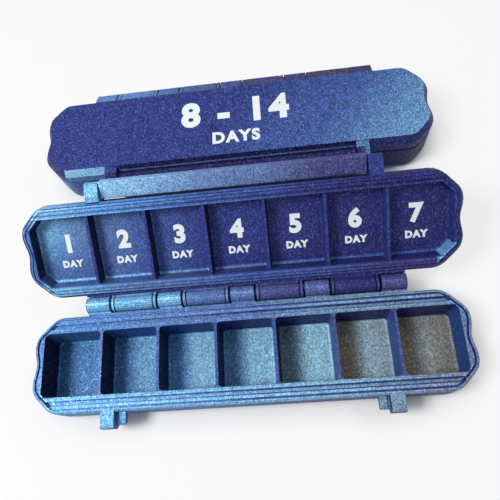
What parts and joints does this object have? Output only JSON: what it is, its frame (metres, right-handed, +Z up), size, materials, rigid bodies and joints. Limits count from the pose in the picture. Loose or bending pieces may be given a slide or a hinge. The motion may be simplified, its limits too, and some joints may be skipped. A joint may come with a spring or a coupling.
{
  "type": "pill organizer",
  "caption": "Weekly pill organizer of long hinged cases with day cells, full-length snap latches and knuckle hinges, one standing open and one closed.",
  "frame": {"origin": "centre of the front case's underside", "axes": "+X along the cases to the right seen from the latch side, +Y from the open front case towards the closed back case, +Z up"},
  "size_m": [0.1816, 0.1617, 0.0469],
  "materials": {
    "printed_base": "satin, colour-shifting indigo to teal with fine glitter",
    "printed_lid": "satin, colour-shifting indigo to teal with fine glitter",
    "printed_latch": "satin, colour-shifting periwinkle to violet with fine glitter",
    "printed_pin": "satin"
  },
  "bodies": {
    "front_base_body": {"front_base": "printed_base", "front_hinge_pin": "printed_pin"},
    "front_lid_body": {"front_lid": "printed_lid", "front_latch_pin_left": "printed_pin", "front_latch_pin_right": "printed_pin"},
    "front_latch_body": {"front_latch": "printed_latch"},
    "back_base_body": {"back_base": "printed_base", "back_hinge_pin": "printed_pin"},
    "back_lid_body": {"back_lid": "printed_lid", "back_latch_pin_left": "printed_pin", "back_latch_pin_right": "printed_pin"},
    "back_latch_body": {"back_latch": "printed_latch"}
  },
  "joints": [
    {"name": "front_lid_hinge", "type": "hinge", "parent": "front_base_body", "child": "front_lid_body", "pos_m": [0, 0.0247, 0.0161], "axis": [1, 0, 0], "range_deg": [0, 142]},
    {"name": "front_latch_pivot", "type": "hinge", "parent": "front_lid_body", "child": "front_latch_body", "pos_m": [0, 0.06668, 0.04293], "axis": [1, 0, 0], "range_deg": [0, 170]},
    {"name": "back_case_slide", "type": "slide", "parent": "front_base_body", "child": "back_base_body", "axis": [0, 1, 0], "range_m": [0, 0.08]},
    {"name": "back_lid_hinge", "type": "hinge", "parent": "back_base_body", "child": "back_lid_body", "pos_m": [0, 0.1315, 0.0161], "axis": [-1, 0, 0], "range_deg": [0, 142]},
    {"name": "back_latch_pivot", "type": "hinge", "parent": "back_lid_body", "child": "back_latch_body", "pos_m": [0, 0.0819, 0.0208], "axis": [-1, 0, 0], "range_deg": [0, 170]}
  ],
  "couplings": [
    {"joint": "back_latch_pivot", "follows": "back_lid_hinge", "ratio": 1.197}
  ]
}
